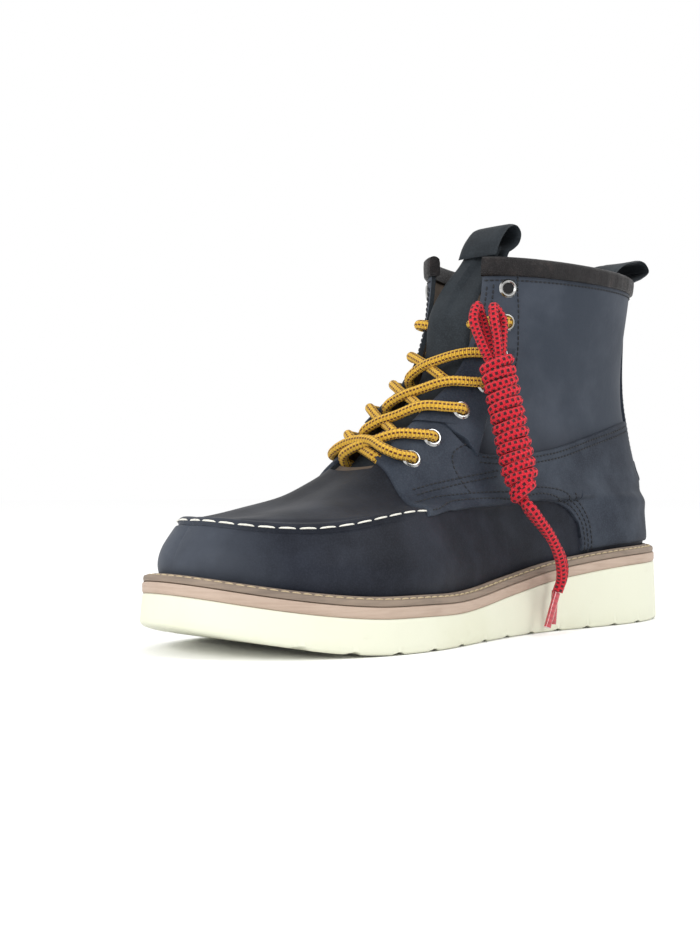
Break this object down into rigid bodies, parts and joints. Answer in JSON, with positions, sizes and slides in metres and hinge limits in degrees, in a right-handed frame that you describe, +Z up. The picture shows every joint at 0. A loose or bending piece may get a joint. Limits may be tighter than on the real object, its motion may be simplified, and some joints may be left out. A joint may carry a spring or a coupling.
{
  "type": "wedge sole work boot",
  "caption": "Left lace-up work boot, ankle height, with a moccasin toe, navy leather upper, tan welt and midsole, white wedge sole and a spare lace hank hung on the lacing.",
  "frame": {"origin": "middle of the boot's box in plan, on the floor under the sole", "axes": "+Y towards the toe, -X towards the outer (lateral) side, +Z up"},
  "size_m": [0.1154, 0.3194, 0.2003],
  "materials": {
    "white_crepe": "cream-white blown rubber, matt",
    "tan_midsole": "pinkish tan leatherboard slab with a sanded edge",
    "tan_welt": "tan leather with lockstitches",
    "insole_leather": "vegetable-tanned insole and sock",
    "navy_nubuck": "waxed dark slate-navy nubuck",
    "navy_nubuck_soft": "softer thinner navy nubuck",
    "dark_binding": "shiny dark brown grained leather",
    "nickel": "bright nickel-plated ring",
    "gold_lace": "round braided gold lace with dark flecks",
    "red_lace": "round braided red and black lace",
    "clear_tip": "clear plastic tip over red lace"
  },
  "bodies": {
    "root": {"outsole": "white_crepe", "midsole": "tan_midsole", "welt": "tan_welt", "insole": "insole_leather", "upper": "navy_nubuck", "quarter_lateral": "navy_nubuck", "quarter_medial": "navy_nubuck", "backstay": "navy_nubuck", "tongue": "navy_nubuck_soft", "heel_loop": "navy_nubuck_soft", "tongue_loop": "navy_nubuck_soft", "collar_binding": "dark_binding", "eyelet_lateral_1": "nickel", "eyelet_lateral_2": "nickel", "eyelet_lateral_3": "nickel", "eyelet_lateral_4": "nickel", "eyelet_lateral_5": "nickel", "eyelet_lateral_6": "nickel", "eyelet_lateral_7": "nickel", "eyelet_medial_1": "nickel", "eyelet_medial_2": "nickel", "eyelet_medial_3": "nickel", "eyelet_medial_4": "nickel", "eyelet_medial_5": "nickel", "eyelet_medial_6": "nickel", "eyelet_medial_7": "nickel", "lace_bar_7": "gold_lace", "lace_bar_2": "gold_lace", "lace_cross_6": "gold_lace", "lace_cross_5": "gold_lace", "lace_cross_4": "gold_lace", "lace_cross_3": "gold_lace", "spare_lace_end_a": "red_lace", "spare_lace_end_b": "red_lace", "spare_lace_hank": "red_lace", "spare_lace_tip_a": "clear_tip", "spare_lace_tip_b": "clear_tip"}
  },
  "joints": []
}
